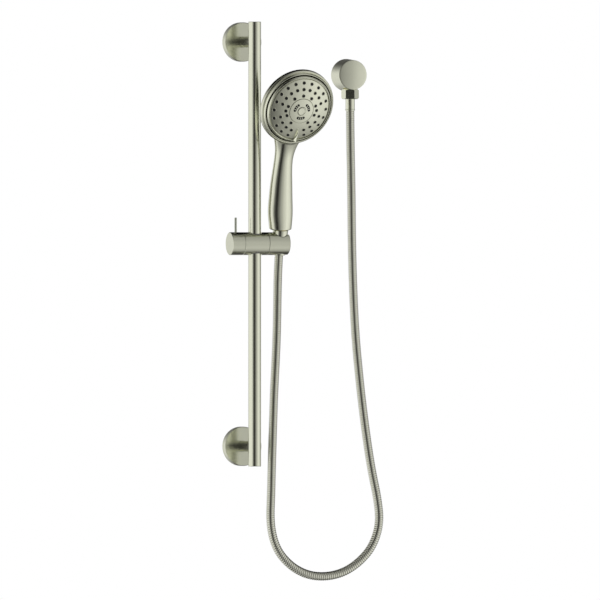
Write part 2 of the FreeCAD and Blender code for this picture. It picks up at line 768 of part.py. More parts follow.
def handset_inlet():
    """Washer, filter, flow restrictor and the threaded nipple that the cone nut screws on."""
    washer = ring("handset_washer_ring", 6.2, THREAD_RADIUS - 0.1, 2.4, on_handset(8.3), "handset")
    keep(washer, "handset_washer")
    cup, cup_depth = 7, 13.2
    spigot, spigot_bore = 4.5, 3
    shoulder, end = 20.2, 31.2
    nipple = [
        (cup, 0), (THREAD_RADIUS, 0), (THREAD_RADIUS, shoulder), (spigot, shoulder), (spigot, end),
        (spigot_bore, end), (spigot_bore, cup_depth), (cup, cup_depth),
    ]
    keep(turned("inlet_nipple_body", nipple, on_handset(10.8), "handset"), "inlet_nipple")
    screen = cylinder("screen_disc", 6.9, 0.8, on_handset(11.2), "handset")
    openings = []
    for number in range(6):
        angle = 60 * number
        at = on_handset(10.2, 4 * sine(angle), 4 * cosine(angle))
        openings.append(cylinder(f"screen_opening_{number}", 1.2, 3, at, "handset"))
    keep(cut("inlet_screen", screen, *openings), "inlet_screen")
    restrictor = ring("restrictor_ring", 1.4, 6.95, 4, on_handset(15), "handset")
    keep(restrictor, "flow_restrictor")


# Sections of the handle, each an ellipse across the handset axis:
# height up the axis, half width, half depth, and how far it lies behind the axis.
HANDLE_SECTIONS = [
    (0.0, 16.8, 12.6, 1.2),
    (2.5, 18.5, 14.0, 1.6),
    (24.0, 20.5, 14.5, 4.8),
    (46.0, 19.8, 14.2, 7.2),
    (72.0, 18.1, 13.2, 8.4),
    (96.0, 16.0, 12.0, 8.0),
    (114.0, 15.5, 11.6, 6.0),
    (130.0, 17.5, 12.4, 2.0),
    (144.0, 22.0, 14.2, -2.5),
    (160.0, 28.0, 15.0, -8.5),
    (176.0, 31.0, 13.5, -16.2),
]


def oval_loft(shrink, low, high):
    """The handle as a smooth solid between two heights, with its section drawn in by `shrink`."""
    wires = []
    for height, width, depth, behind in HANDLE_SECTIONS:
        if low <= height <= high:
            middle = Vector(0, behind, s.handle_base.value + height)
            oval = Part.Ellipse(middle, width - shrink, depth - shrink)
            wires.append(Part.Wire(oval.toShape()))
    return Part.makeLoft(wires, True, False)


def handset_place():
    at = [sized(amount).value for amount in on_handset(0)]
    return Placement(Vector(*at), FACING["handset"])


def face_place():
    at = [sized(amount).value for amount in on_face(0)]
    return Placement(Vector(*at), FACING["spray"])


def revolved(corners):
    """A solid turned about Z. A corner may be an arc's middle point, given as a third item."""
    edges = []
    start = Vector(corners[0][0], 0, corners[0][1])
    for radius, height, *middle in corners[1:] + corners[:1]:
        end = Vector(radius, 0, height)
        if middle:
            edges.append(Part.Arc(start, Vector(middle[0], 0, middle[1]), end).toShape())
        elif (end - start).Length > 1e-6:
            edges.append(Part.LineSegment(start, end).toShape())
        start = end
    return Part.Face(Part.Wire(edges)).revolve(Vector(), Vector(0, 0, 1), 360)


def head_form(inset):
    """The head from its face plane to its domed back, in the face's own frame, drawn in by `inset`."""
    front = s.rim_front_dia.value / 2 - inset
    widest = s.rim_dia.value / 2 - inset
    back = s.head_depth.value - inset
    dome = s.dome_radius.value - inset

    def back_at(radius):
        return -(back - dome + math.sqrt(dome**2 - radius**2))

    midway = widest * 0.6
    return revolved([
        (0, 0), (front, 0), (widest, -s.rim_set_back.value), (widest, back_at(widest)),
        (0, -back, midway, back_at(midway)),
    ])


def on_its_face(shape):
    """Moves a shape made in the face's own frame into the handset's."""
    shape.Placement = handset_place().inverse().multiply(face_place())
    return shape


def handset_shell():
    """One hollow casting: an oval handle that flows into a round, dome-backed head."""
    wall = s.shell_wall.value
    reach = s.rim_dia.value
    top = HANDLE_SECTIONS[-1][0]
    floor = HANDLE_SECTIONS[2][0]
    base = s.handle_base.value
    mouth_radius = s.ring_outer.value + 0.6
    mouth_depth, lip_depth = 12, 3
    mouth = Part.makeCylinder(mouth_radius, mouth_depth + 4, Vector(0, 0, -mouth_depth))
    lip = Part.makeCylinder(reach, lip_depth, Vector(0, 0, -lip_depth)).cut(mouth)
    front = on_its_face(Part.makeCylinder(reach, 2 * reach))
    handle = oval_loft(0, 0, top).cut(front)
    hollow = oval_loft(wall, floor, top).cut(front)
    cavity = on_its_face(head_form(wall).cut(lip))
    nipple_room = Part.makeCylinder(10, floor - 2, Vector(0, 3.7, base + 5.2))
    inlet = Part.makeCylinder(THREAD_RADIUS.value + 0.02, 10, Vector(0, 0, base - 1))
    shape = handle.fuse(on_its_face(head_form(0))).removeSplitter()
    for tool in (hollow, cavity, on_its_face(mouth), nipple_room, inlet):
        shape = shape.cut(tool)
    item = doc.addObject("Part::Feature", "handset_casting")
    item.Shape = shape
    item.Placement = handset_place()
    keep(item, "handset_shell")


def water_tube():
    """The pipe up the handle, from the inlet nipple's spigot to the head."""
    straight = [(height, 0) for height in (9, 14, 20)]
    bowed = [(height, behind) for height, _, _, behind in HANDLE_SECTIONS[3:10]]

    def pipe(radius):
        wires = []
        for height, behind in straight + bowed:
            at = Vector(0, behind, s.handle_base.value + height)
            wires.append(Part.Wire(Part.makeCircle(radius, at)))
        return Part.makeLoft(wires, True, False)

    item = doc.addObject("Part::Feature", "water_pipe")
    item.Shape = pipe(6.2).cut(pipe(4.7))
    item.Placement = handset_place()
    keep(item, "water_tube")


def diverter():
    """The fixed valve plate behind the spray face, its seal, and the screw the face turns on."""
    screw_hole, boss, boss_top = 2, 5, 0.3
    edge, groove = 48.8, 47.3
    front, back = -8, -14
    outline = [
        (screw_hole, -10), (screw_hole, boss_top), (boss, boss_top), (boss, front), (edge, front),
        (edge, -9.5), (groove, -9.5), (groove, -12.3), (edge, -12.3), (edge, back), (0, back),
        (0, -10),
    ]
    base = turned("diverter_disc", outline, on_face(0), "spray")
    below = 36
    spigot = cylinder("diverter_spigot", 6.5, 11, on_face(-24, 0, -below), "spray")
    inlet = cylinder("diverter_inlet", 4, 21, on_face(-25, 0, -below), "spray")
    keep(cut("diverter_base", fuse("diverter_base", base, spigot), inlet), "diverter_base")
    keep(torus("diverter_seal_ring", 48.65, 1.25, on_face(-10.9), "spray"), "diverter_seal")
    head = cylinder("face_screw_head", 4, 2.4, on_face(2.5), "spray")
    shank = cylinder("face_screw_shank", 2, 12, on_face(-9.5), "spray")
    socket = cylinder("face_screw_socket", 1.5, 1.5, on_face(3.5), "spray")
    keep(cut("face_screw", fuse("face_screw", head, shank), socket), "face_screw")


# ---------------------------------------------------------------------------------------------------
# Spray face, which turns to change the spray
# ---------------------------------------------------------------------------------------------------

CROWN_SPHERE = (s.plate_radius * s.plate_radius + s.plate_crown * s.plate_crown) / (2 * s.plate_crown)
CROWN_CENTRE = s.plate_crown - CROWN_SPHERE
STRAIGHT_DOWN = 180
NOZZLE_RADIUS = s.nozzle_dia / 2


def nozzle_places():
    """Every nozzle as (ring radius, angle from the top). The rings leave out the selector's place."""
    places = []
    step = int(s.nozzle_step.value)
    for angle in range(0, 360, step):
        if angle != STRAIGHT_DOWN:
            places.append((s.outer_ring, angle))
            if angle not in (90, 270):
                places.append((s.middle_ring, angle))
            if angle % (2 * step) == 0:
                places.append((s.inner_ring, angle))
    return places + [(s.side_nozzles, 90), (s.side_nozzles, 270)]


def crown_height(radius):
    """The nozzle plate's height above the face plane at a radius, to the sphere's first order."""
    return s.plate_crown - radius * radius / (2 * CROWN_SPHERE)


def dome_cap(name, bore_radius, radius):
    """A ring of the domed sheet that the spray face is made of."""
    outside = sphere(f"{name}_outside", CROWN_SPHERE, on_face(CROWN_CENTRE))
    inside = sphere(f"{name}_inside", CROWN_SPHERE - s.sheet_thick, on_face(CROWN_CENTRE))
    reach = ring(f"{name}_reach", bore_radius, radius, 30, on_face(-8), "spray")
    return common(name, cut(f"{name}_sheet", outside, inside), reach)


def face_plate():
    sheet_ring = dome_cap("face_plate_dome", s.disc_radius + 0.1, s.plate_radius - 0.1)
    holes = [
        cylinder(f"plate_hole_{number}", NOZZLE_RADIUS + 0.15, 20,
                 on_face(-6, radius * sine(angle), radius * cosine(angle)), "spray")
        for number, (radius, angle) in enumerate(nozzle_places())
    ]
    keep(cut("face_plate", sheet_ring, group("plate_holes", holes)), "face_plate")


def nozzle_mat():
    """A rubber sheet behind the plate with a nozzle for each hole."""
    mat = ring("mat_sheet", 10, s.plate_radius - 1.5, 1.5, on_face(-4.2), "spray")
    stems = [
        cylinder(f"mat_nozzle_{number}", NOZZLE_RADIUS,
                 crown_height(radius) + s.nozzle_proud + 3.4,
                 on_face(-3.4, radius * sine(angle), radius * cosine(angle)), "spray")
        for number, (radius, angle) in enumerate(nozzle_places())
    ]
    keep(fuse("nozzle_mat", mat, *stems), "nozzle_mat")


def face_ring():
    """The turning ring: a rounded rim, a skirt inside the head and the selector's fin."""
    inner = s.plate_radius
    crest, skirt_base = 1.3, -13
    skirt_inside, skirt_outside = 50, 52.5
    rim = [
        (inner, -2), (inner, 0.6), (inner + 1, crest), (s.ring_outer - 1.2, crest),
        (s.ring_outer, 0.4), (s.ring_outer, -3), (skirt_outside, -5), (skirt_outside, skirt_base),
        (skirt_inside, skirt_base), (skirt_inside, -2),
    ]
    base = turned("ring_rim", rim, on_face(0), "spray")
    fin = box("ring_fin", 3.5, 24, 9, on_face(-0.8, -1.75, -53), "spray")
    rounding = sphere("ring_fin_crown", CROWN_SPHERE + 4.5, on_face(CROWN_CENTRE))
    hollow = sphere("ring_fin_hollow", CROWN_SPHERE + 0.1, on_face(CROWN_CENTRE))
    blade = cut("ring_fin", common("ring_fin", fin, rounding), hollow)
    keep(fuse("face_ring", base, blade), "face_ring")


def centre_disc():
    """A domed disc with three curved slots, over a hub that turns on the centre screw."""
    cap = dome_cap("disc_dome", 7.4, s.disc_radius)
    hub = [(2.3, 0.5), (9, 0.5), (9, 7.6), (7.4, 7.6), (7.4, 2.4), (2.3, 2.4)]
    hub_body = turned("disc_hub", hub, on_face(0), "spray")
    slots = []
    for angle in (60, 180, 300):
        for part in range(-2, 3):
            turn = angle + part * 13
            at = on_face(4, 12.2 * sine(turn), 12.2 * cosine(turn))
            slots.append(cylinder(f"disc_slot_{angle}_{part + 2}", 1.7, 8, at, "spray"))
    solid = fuse("centre_disc", cap, hub_body)
    keep(cut("centre_disc", solid, fuse("disc_slots", *slots)), "centre_disc")


def centre_button():
    edge = 0.8
    top = s.plate_crown + 0.9
    outline = [
        (0, 5.2), (s.button_radius, 5.2), (s.button_radius, top - edge),
        (s.button_radius - edge, top), (s.button_radius - 2, top - 0.3), (0, top - 0.3),
    ]
    keep(turned("centre_button_body", outline, on_face(0), "spray"), "centre_button")


# ---------------------------------------------------------------------------------------------------
# Hose: four lengths, end to end, from the outlet round the loop and up to the handset
# ---------------------------------------------------------------------------------------------------

HOSE_ROUTES = {
    "hose_loop": [
        (177.5, -18.0, 548.8), (177.6, -18.0, 500.0), (179.4, -18.6, 410.0), (180.2, -19.2, 300.0),
        (184.4, -20.2, 185.0), (192.5, -21.4, 100.0), (201.0, -22.4, 30.0), (211.0, -23.6, -36.0),
        (221.5, -24.8, -84.0), (225.0, -25.6, -122.0), (213.0, -26.4, -158.0),
        (190.0, -27.4, -183.0), (162.0, -28.8, -200.0), (130.0, -30.6, -206.5),
        (98.0, -32.4, -203.0), (68.0, -34.4, -187.0), (45.0, -35.8, -160.0),
        (35.5, -36.8, -122.0), (37.0, -37.9, -76.0), (37.8, -38.5, -32.0), (38.6, -39.2, 0.0),
    ],
    "hose_low_drop": [
        (38.6, -39.2, 0.0), (39.4, -39.9, 32.0), (40.4, -41.4, 82.0), (41.5, -42.6, 110.0),
    ],
    "hose_mid_drop": [
        (41.5, -42.6, 110.0), (42.6, -43.8, 138.0), (43.9, -45.9, 186.0), (43.6, -48.2, 229.0),
    ],
    "hose_top_drop": [
        (43.6, -48.2, 229.0), (43.45, -49.32, 250.0), (41.9, -56.9, 288.0), (41.9, -64.06, 324.85),
    ],
}


def hose_path(name, points):
    """Straight runs joined by arcs as large as the two runs beside each point allow."""
    edges = []
    radii = []
    at = points[0]
    for before, corner, after in zip(points, points[1:], points[2:]):
        back, ahead = before - corner, after - corner
        half_turn = (math.pi - back.getAngle(ahead)) / 2
        reach = 0.45 * min(back.Length, ahead.Length)
        radius = reach / math.tan(half_turn)
        back.normalize()
        ahead.normalize()
        inward = (back + ahead).normalize()
        start = corner + back * reach
        end = corner + ahead * reach
        middle = corner + inward * (radius / math.cos(half_turn) - radius)
        edges.append(Part.LineSegment(at, start).toShape())
        edges.append(Part.Arc(start, middle, end).toShape())
        radii.append(radius)
        at = end
    edges.append(Part.LineSegment(at, points[-1]).toShape())
    print(name, "bend radii", " ".join(f"{radius:.0f}" for radius in radii))
    return Part.Wire(edges)


def hose_length(name, points):
    outer, bore = s.hose_dia.value / 2, s.hose_bore.value / 2
    path = hose_path(name, points)
    along = points[1] - points[0]
    discs = [Part.Face(Part.Wire(Part.makeCircle(radius, points[0], along))) for radius in (outer, bore)]
    tube = path.makePipe(discs[0].cut(discs[1]).Faces[0])
    section = math.pi * (outer**2 - bore**2)
    print(name, f"length {path.Length:.1f} volume ratio {tube.Volume / section / path.Length:.4f}")
    item = doc.addObject("Part::Feature", f"{name}_tube")
    item.Shape = tube
    keep(item, name)
    return path.Length


# ---------------------------------------------------------------------------------------------------
# Build, check and write
# ---------------------------------------------------------------------------------------------------

for build in (
    rail_tube, rail_caps, rail_inserts, posts, rail_screws, wall_plates, grub_screws, flanges,
    outlet_body, outlet_elbow, outlet_gasket, hose_hex_nut, hose_wall_fitting,
    slider_liner, slider_body, clamp_shoe, lock_bush, lock_knob, knob_cap, lever_pin, clamp_screw,
    knob_screw, tilt_pivot, holder_body, holder_insert, cone_nut, hose_handset_fitting,
    handset_inlet, handset_shell, water_tube, diverter, face_plate, nozzle_mat, face_ring,
    centre_disc, centre_button,
):
    build()

total = sum(
    hose_length(name, [Vector(*point) for point in route]) for name, route in HOSE_ROUTES.items()
)
print(f"hose total {total:.0f} mm")

doc.recompute()

failed = [item.Name for item in doc.Objects if {"Invalid", "Error"} & set(item.State)]
if failed:
    raise RuntimeError(f"objects failed to compute: {failed}")
for item in sub_parts:
    if item.Shape.isNull() or not item.Shape.isValid() or not item.Shape.Solids:
        raise RuntimeError(f"{item.Label} has no valid solid")
for item in sub_parts:
    item.Shape.exportStep(f"parts/{item.Label}.step")
print(len(sub_parts), "sub-parts written")
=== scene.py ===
import json
import math

import bmesh
import bpy
import numpy as np
from mathutils import Matrix, Vector


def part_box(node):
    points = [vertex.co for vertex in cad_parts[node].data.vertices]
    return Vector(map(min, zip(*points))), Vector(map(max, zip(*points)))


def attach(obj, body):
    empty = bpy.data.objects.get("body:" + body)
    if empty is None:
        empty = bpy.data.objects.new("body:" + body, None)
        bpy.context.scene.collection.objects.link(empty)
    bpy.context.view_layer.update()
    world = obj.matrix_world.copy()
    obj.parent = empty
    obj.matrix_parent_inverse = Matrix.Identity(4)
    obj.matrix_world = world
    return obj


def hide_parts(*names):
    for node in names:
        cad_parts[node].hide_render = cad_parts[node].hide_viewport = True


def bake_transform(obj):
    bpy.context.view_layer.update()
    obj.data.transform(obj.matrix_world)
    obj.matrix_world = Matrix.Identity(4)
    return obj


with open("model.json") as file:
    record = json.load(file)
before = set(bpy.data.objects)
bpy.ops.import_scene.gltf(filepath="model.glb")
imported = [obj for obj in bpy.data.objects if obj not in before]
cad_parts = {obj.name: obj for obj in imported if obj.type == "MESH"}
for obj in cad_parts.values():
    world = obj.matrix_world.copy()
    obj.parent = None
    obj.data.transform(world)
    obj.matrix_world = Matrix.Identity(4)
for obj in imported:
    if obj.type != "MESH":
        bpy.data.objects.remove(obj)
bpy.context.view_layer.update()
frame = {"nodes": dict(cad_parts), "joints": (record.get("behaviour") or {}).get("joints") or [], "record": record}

# A hand shower set in satin nickel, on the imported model's frame. Everything is in metres, in the frame's
# own axes: the wall is the plane Y = 0, the set stands out towards -Y, and +Z is up the rail.

MM = 0.001

# ---------------------------------------------------------------------------------------------------
# Places, all read from the frame
# ---------------------------------------------------------------------------------------------------


def joint(name):
    return next(item for item in frame["joints"] if item["name"] == name)


def middle(node):
    low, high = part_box(node)
    return (low + high) / 2


def axes(origin, along, right=(1, 0, 0)):
    """A frame at `origin` with its Z axis `along` and its X axis as near `right` as that allows."""
    z = Vector(along).normalized()
    x = (Vector(right) - z * Vector(right).dot(z)).normalized()
    return Matrix.Translation(origin) @ Matrix((x, z.cross(x), z)).transposed().to_4x4()


HANDLE_UP = Vector(joint("handset_swivel")["axis"])
SPRAY_OUT = Vector(joint("spray_selector")["axis"])
HANDSET_RIGHT = HANDLE_UP.cross(SPRAY_OUT)
HANDSET = axes(joint("handset_swivel")["pos_m"], HANDLE_UP, HANDSET_RIGHT)
FACE = axes(joint("spray_selector")["pos_m"], SPRAY_OUT, HANDSET_RIGHT)
OFF_WALL = (0, -1, 0)

# ---------------------------------------------------------------------------------------------------
# Camera
# ---------------------------------------------------------------------------------------------------

VIEW_AZIMUTH = math.radians(-20.5)
VIEW_DISTANCE = 40.0
VIEW_WIDTH = 0.945
VIEW_ASIDE = 0.0714
VIEW_BELOW = 0.0881
TO_CAMERA = Vector((math.sin(VIEW_AZIMUTH), -math.cos(VIEW_AZIMUTH), 0))
VIEW_RIGHT = Vector((math.cos(VIEW_AZIMUTH), math.sin(VIEW_AZIMUTH), 0))


def add_camera():
    data = bpy.data.cameras.new("camera")
    data.sensor_width = 36
    data.lens = data.sensor_width * VIEW_DISTANCE / VIEW_WIDTH
    data.clip_end = 100
    camera = bpy.data.objects.new("camera", data)
    target = middle("rail_tube") + VIEW_RIGHT * VIEW_ASIDE - Vector((0, 0, VIEW_BELOW))
    camera.location = target + TO_CAMERA * VIEW_DISTANCE
    camera.rotation_euler = (-TO_CAMERA).to_track_quat("-Z", "Y").to_euler()
    bpy.context.scene.collection.objects.link(camera)
    bpy.context.scene.camera = camera


add_camera()

# ---------------------------------------------------------------------------------------------------
# Making meshes
# ---------------------------------------------------------------------------------------------------


def add_mesh(name, points, faces, sharp_degrees=35):
    mesh = bpy.data.meshes.new(name)
    mesh.from_pydata([tuple(point) for point in points], [], faces)
    mesh.validate()
    mesh.update()
    mesh.shade_smooth()
    mesh.set_sharp_from_angle(angle=math.radians(sharp_degrees))
    piece = bpy.data.objects.new(name, mesh)
    bpy.context.scene.collection.objects.link(piece)
    return piece


def grid_faces(rows, columns, wrap_rows=False, wrap_columns=True):
    """Quads over a grid of points numbered row by row."""
    faces = []
    for row in range(rows if wrap_rows else rows - 1):
        for column in range(columns if wrap_columns else columns - 1):
            below, beside = (row + 1) % rows, (column + 1) % columns
            faces.append((
                row * columns + column, row * columns + beside,
                below * columns + beside, below * columns + column,
            ))
    return faces


def rounded(corners, steps=5):
    """An outline of (radius, height) corners in millimetres, each with its own fillet if a third
    number gives one, as points in metres."""
    outline = []
    for number, (radius, height, *fillet) in enumerate(corners):
        here = Vector((radius, height))
        if not fillet:
            outline.append(here)
            continue
        back = (Vector(corners[number - 1][:2]) - here).normalized()
        ahead = (Vector(corners[(number + 1) % len(corners)][:2]) - here).normalized()
        half = back.angle(ahead) / 2
        reach = fillet[0] / math.tan(half)
        centre = here + (back + ahead).normalized() * fillet[0] / math.sin(half)
        first, last = here + back * reach - centre, here + ahead * reach - centre
        for step in range(steps + 1):
            arm = first.slerp(last, step / steps)
            outline.append(centre + arm.normalized() * fillet[0])
    return [point * MM for point in outline]


def turned(name, corners, place, sides=128, sharp_degrees=35):
    """A closed outline, turned about the Z axis of `place`."""
    outline = rounded(corners)
    points = []
    for point in outline:
        for side in range(sides):
            turn = 2 * math.pi * side / sides
            at = Vector((point.x * math.cos(turn), point.x * math.sin(turn), point.y))
            points.append(place @ at)
    faces = grid_faces(len(outline), sides, wrap_rows=True)
    piece = add_mesh(name, points, faces, sharp_degrees)
    merge_close(piece)
    return piece


def merge_close(piece, distance=0.00001):
    """Welds the points that a turned outline has on its axis, and drops the faces without area."""
    mesh = bmesh.new()
    mesh.from_mesh(piece.data)
    bmesh.ops.remove_doubles(mesh, verts=mesh.verts, dist=distance)
    bmesh.ops.dissolve_degenerate(mesh, edges=mesh.edges, dist=distance)
    bmesh.ops.recalc_face_normals(mesh, faces=mesh.faces)
    mesh.to_mesh(piece.data)
    mesh.free()


# ---------------------------------------------------------------------------------------------------
# Hose: one helical armour in four lengths, from the outlet round the loop and up to the handset
# ---------------------------------------------------------------------------------------------------

HOSE_ROUTES = {
    "hose_loop": [
        (177.5, -18.0, 548.8), (177.6, -18.0, 500.0), (179.4, -18.6, 410.0), (180.2, -19.2, 300.0),
        (184.4, -20.2, 185.0), (192.5, -21.4, 100.0), (201.0, -22.4, 30.0), (211.0, -23.6, -36.0),
        (221.5, -24.8, -84.0), (225.0, -25.6, -122.0), (213.0, -26.4, -158.0),
        (190.0, -27.4, -183.0), (162.0, -28.8, -200.0), (130.0, -30.6, -206.5),
        (98.0, -32.4, -203.0), (68.0, -34.4, -187.0), (45.0, -35.8, -160.0),
        (35.5, -36.8, -122.0), (37.0, -37.9, -76.0), (37.8, -38.5, -32.0), (38.6, -39.2, 0.0),
    ],
    "hose_low_drop": [
        (38.6, -39.2, 0.0), (39.4, -39.9, 32.0), (40.4, -41.4, 82.0), (41.5, -42.6, 110.0),
    ],
    "hose_mid_drop": [
        (41.5, -42.6, 110.0), (42.6, -43.8, 138.0), (43.9, -45.9, 186.0), (43.6, -48.2, 229.0),
    ],
    "hose_top_drop": [
        (43.6, -48.2, 229.0), (43.45, -49.32, 250.0), (41.9, -56.9, 288.0), (41.9, -64.06, 324.85),
    ],
}
HOSE_RADIUS = 6.75 * MM
HOSE_PITCH = 3.5 * MM
HOSE_SIDES = 28
GROOVE_DEPTH = 1.4 * MM
TURN_SAMPLES = (0.0, 0.06, 0.13, 0.24, 0.5, 0.76, 0.87, 0.94)


def spline_points(name, route):
    """Points along the smooth curve that has the route's points as its control points."""
    curve = bpy.data.curves.new(f"{name}_line", "CURVE")
    curve.dimensions = "3D"
    curve.resolution_u = 24
    spline = curve.splines.new("NURBS")
    spline.points.add(len(route) - 1)
    for point, at in zip(spline.points, route):
        point.co = (*(Vector(at) * MM), 1)
    spline.order_u = 3
    spline.use_endpoint_u = True
    holder = bpy.data.objects.new(f"{name}_line", curve)
    line = bpy.data.meshes.new_from_object(holder)
    points = [vertex.co.copy() for vertex in line.vertices]
    bpy.data.objects.remove(holder)
    bpy.data.meshes.remove(line)
    return points


def carried_normals(points):
    """A direction square to the line at each point, carried along it without twisting."""
    normals = []
    normal = None
    for before, here, after in zip(points[:1] + points, points, points[1:] + points[-1:]):
        tangent = (after - before).normalized()
        if normal is None:
            normal = tangent.orthogonal()
        normal = (normal - tangent * normal.dot(tangent)).normalized()
        normals.append(normal)
    return normals


def armour_radius(phase):
    """The strip's outline over one turn: a crowned band with a narrow groove at each edge."""
    from_groove = np.abs(phase - np.round(phase)) * 2
    crown = 1 - 0.22 * (1 - from_groove) ** 2
    groove = np.clip(1 - from_groove / 0.32, 0, 1) ** 1.5
    return HOSE_RADIUS - GROOVE_DEPTH * (1 - crown + 0.78 * groove)


def armour(name, line, normals, start, end, along):
    """The armour between two lengths along the line. Its points follow the helix of the grooves."""
    first = int(start / HOSE_PITCH) - 2
    turns = int((end - start) / HOSE_PITCH) + 4
    samples = np.array(TURN_SAMPLES)
    side = np.arange(HOSE_SIDES)
    at = (first + np.arange(turns)[:, None, None] + samples[None, :, None]
          + side[None, None, :] / HOSE_SIDES) * HOSE_PITCH
    at = np.clip(at.reshape(-1, HOSE_SIDES), start, end)
    turn = 2 * math.pi * side / HOSE_SIDES
    radius = armour_radius(at / HOSE_PITCH - side / HOSE_SIDES)
    track, square = np.array(line), np.array(normals)
    tangent = np.gradient(track, along, axis=0)

    def sampled(values):
        return np.stack([np.interp(at, along, values[:, axis]) for axis in range(3)], axis=-1)

    tangents = sampled(tangent)
    tangents /= np.linalg.norm(tangents, axis=-1, keepdims=True)
    across = sampled(square)
    across -= tangents * np.sum(across * tangents, axis=-1, keepdims=True)
    across /= np.linalg.norm(across, axis=-1, keepdims=True)
    third = np.cross(tangents, across)
    arm = across * np.cos(turn)[None, :, None] + third * np.sin(turn)[None, :, None]
    points = (sampled(track) + arm * radius[:, :, None]).reshape(-1, 3)
    rows = len(at)
    faces = []
    step = len(TURN_SAMPLES)
    for row in range(rows - 1):
        for column in range(HOSE_SIDES - 1):
            a = row * HOSE_SIDES + column
            faces.append((a, a + 1, a + 1 + HOSE_SIDES, a + HOSE_SIDES))
        if row + 1 + step < rows:
            a = row * HOSE_SIDES + HOSE_SIDES - 1
            b = (row + step) * HOSE_SIDES
            faces.append((a, b, b + HOSE_SIDES, a + HOSE_SIDES))
    piece = add_mesh(name, points, faces, 180)
    merge_close(piece, 0.00002)
    return piece


def add_hose():
    """The four lengths, as armour along one line, in place of the frame's hose nodes."""
    spans = {}
    line = []
    for name, route in HOSE_ROUTES.items():
        points = spline_points(name, route)
        first = max(len(line) - 1, 0)
        line += points[1:] if line else points
        spans[name] = (first, len(line) - 1)
    normals = carried_normals(line)
    steps = [0.0] + [(b - a).length for a, b in zip(line, line[1:])]
    along = np.cumsum(steps)
    pieces = {}
    for name, (first, last) in spans.items():
        piece = armour(f"{name}_armour", line, normals, along[first], along[last], along)
        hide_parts(name)
        pieces[name] = (piece, line[first:last + 1])
    return pieces


hose = add_hose()
for name, (piece, path) in hose.items():
    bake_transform(piece)

# ---------------------------------------------------------------------------------------------------
# Handset: one hollow casting whose handle flows into the head, as a field of distances in millimetres
# ---------------------------------------------------------------------------------------------------

# Sections of the handle, each an oval across the handset's axis:
# height up the axis, half width, half depth, and how far it lies behind the axis.
HANDLE_SECTIONS = np.array([
    (-20.0, 17.6, 13.4, 0.6), (2.5, 18.5, 14.0, 1.6), (24.0, 20.5, 14.5, 4.8), (46.0, 19.8, 14.2, 7.2),
    (72.0, 18.1, 13.2, 8.4), (96.0, 16.0, 12.0, 8.0), (114.0, 15.5, 11.6, 6.0), (130.0, 17.5, 12.4, 2.0),
    (144.0, 22.0, 14.2, -2.5), (160.0, 28.0, 15.0, -8.5), (176.0, 31.0, 13.5, -16.2),
])
HANDLE_BASE = 22.8
HANDLE_TOP = 174.0
RIM_RADIUS = 62.3
DOME_RADIUS = 82.0
HEAD_DEPTH = 43.0
MOUTH_RADIUS = 56.7
MOUTH_DEPTH = 16.0
SHELL_WALL = 2.2
HEAD_FRONT = -12.5


def spline_through(knots, values, at):
    """The smooth curve through the values at the knots."""
    gaps = np.diff(knots)
    last = len(knots) - 1
    matrix, right = np.eye(last + 1), np.zeros(last + 1)
    for k in range(1, last):
        matrix[k, k - 1:k + 2] = gaps[k - 1], 2 * (gaps[k - 1] + gaps[k]), gaps[k]
        right[k] = 6 * np.diff(np.diff(values[k - 1:k + 2]) / gaps[k - 1:k + 1])[0]
    bend = np.linalg.solve(matrix, right)
    at = np.clip(at, knots[0], knots[-1])
    k = np.clip(np.searchsorted(knots, at) - 1, 0, last - 1)
    gap, before, after = gaps[k], at - knots[k], knots[k + 1] - at
    curve = (bend[k] * after**3 + bend[k + 1] * before**3) / (6 * gap)
    return curve + (values[k] / gap - bend[k] * gap / 6) * after \
        + (values[k + 1] / gap - bend[k + 1] * gap / 6) * before


def both(a, b, blend):
    """What two solids share, with the edge between them rounded."""
    mix = np.clip(0.5 + 0.5 * (a - b) / blend, 0, 1)
    return b + (a - b) * mix + blend * mix * (1 - mix)


def joined(a, b, blend):
    """Two solids as one, with a fillet between them."""
    return -both(-a, -b, blend)


TO_FACE = np.array(FACE.inverted() @ HANDSET)
TO_FACE[:3, 3] /= MM


def casting(x, y, z):
    """How far a place in the handset's frame is outside the casting."""
    height = z - HANDLE_BASE
    width, depth, behind = (
        spline_through(HANDLE_SECTIONS[:, 0], HANDLE_SECTIONS[:, column], height) for column in (1, 2, 3)
    )
    across, through = x / width, (y - behind) / depth
    reach = np.sqrt(across**2 + through**2) + 1e-9
    slope = np.sqrt((across / width)**2 + (through / depth)**2) + 1e-9
    handle = both(reach * (reach - 1) / slope, height - HANDLE_TOP, 6)
    right, above, out = (turn[0] * x + turn[1] * y + turn[2] * z + turn[3] for turn in TO_FACE[:3])
    radius = np.hypot(right, above)
    dome = np.sqrt(radius**2 + (out - DOME_RADIUS + HEAD_DEPTH)**2) - DOME_RADIUS
    head = both(both(dome, radius - RIM_RADIUS + 0.1, 3), out - HEAD_FRONT, 0.4)
    outside = joined(handle, head, 4)
    outside = both(outside, HANDLE_BASE - z, 2.4)
    behind_face = np.minimum(out - HEAD_FRONT, RIM_RADIUS - 0.8 - radius)
    inside = both(outside + SHELL_WALL, behind_face + 1.0, 1)
    mouth = both(radius - MOUTH_RADIUS, -MOUTH_DEPTH - out, 0.6)
    hollow = joined(inside, mouth, 0.6)
    return both(both(outside, behind_face, 0.4), -hollow, 0.6)


def onto_surface(field, points, rounds, nudge=0.02):
    """Moves points along the field's slope to where it is zero."""
    for _ in range(rounds):
        here = field(*points.T)
        slope = np.stack([
            (field(*(points + step).T) - field(*(points - step).T)) / (2 * nudge)
            for step in np.eye(3) * nudge
        ], axis=-1)
        steep = np.maximum(np.sum(slope**2, axis=-1), 0.2)
        points = points - slope * np.clip(here / steep, -1, 1)[:, None]
    return points


